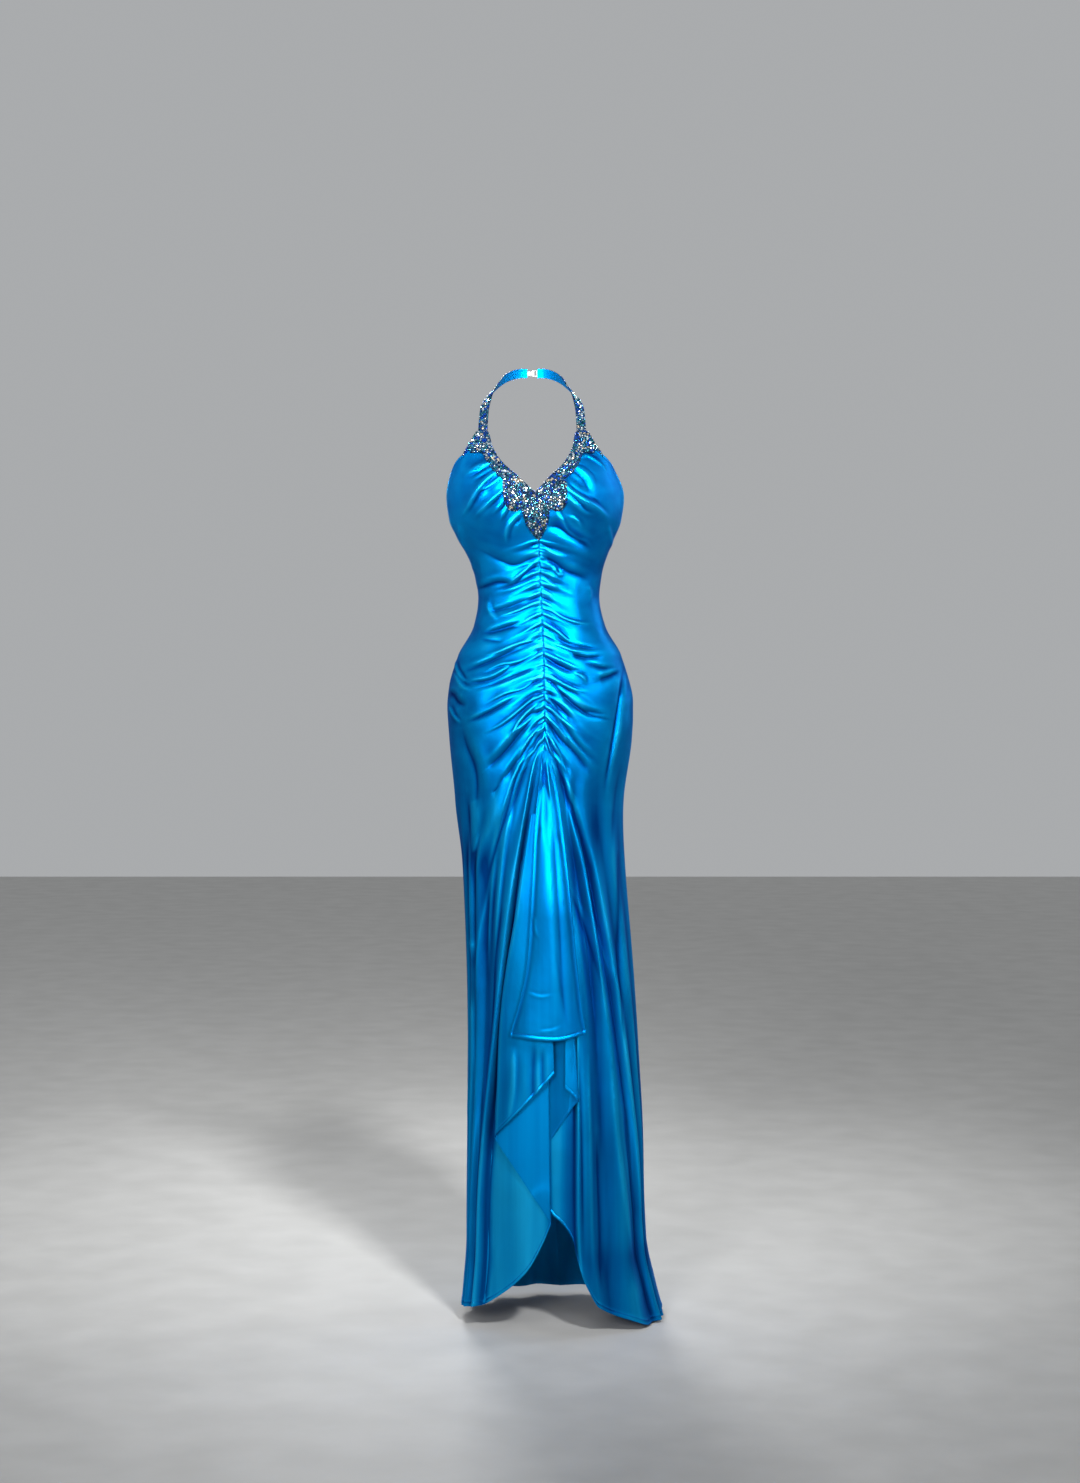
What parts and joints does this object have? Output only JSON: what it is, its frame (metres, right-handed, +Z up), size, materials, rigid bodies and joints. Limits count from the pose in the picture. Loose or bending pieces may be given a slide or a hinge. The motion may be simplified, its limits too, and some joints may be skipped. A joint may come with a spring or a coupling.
{
  "type": "evening dress",
  "caption": "Full-length satin halter evening dress with a beaded V neck, a ruched centre seam, a cascade of front folds, an open back and a hem that rises in front.",
  "frame": {"origin": "where the halter rests on the back of the neck, on the inner face of the nape clasp", "axes": "+Z up, the front of the dress faces -Y, the wearer's left is +X"},
  "size_m": [0.3612, 0.3141, 1.5891],
  "materials": {
    "satin": "turquoise satin with a soft sheen",
    "beadwork": "faceted glass beads and stones sewn on a blue ground",
    "steel": "bright nickel plate"
  },
  "bodies": {
    "dress": {"front_right": "satin", "front_left": "satin", "back_right": "satin", "back_left": "satin", "cascade_centre": "satin", "cascade_right": "satin", "cascade_left": "satin", "neck_band_right": "beadwork", "neck_band_left": "beadwork", "cup_tip_right": "beadwork", "cup_tip_left": "beadwork", "centre_motif": "beadwork", "strap_right": "beadwork", "strap_left": "beadwork", "nape_hook": "steel", "nape_eye": "steel", "zip_tape": "satin", "zip_slider": "steel"},
    "pull_tab": {"zip_pull": "steel"}
  },
  "joints": [
    {"name": "pull_swing", "type": "hinge", "parent": "dress", "child": "pull_tab", "pos_m": [0.01162, -0.01404, -0.41129], "axis": [1, 0, 0], "range_deg": [0, 150]}
  ]
}
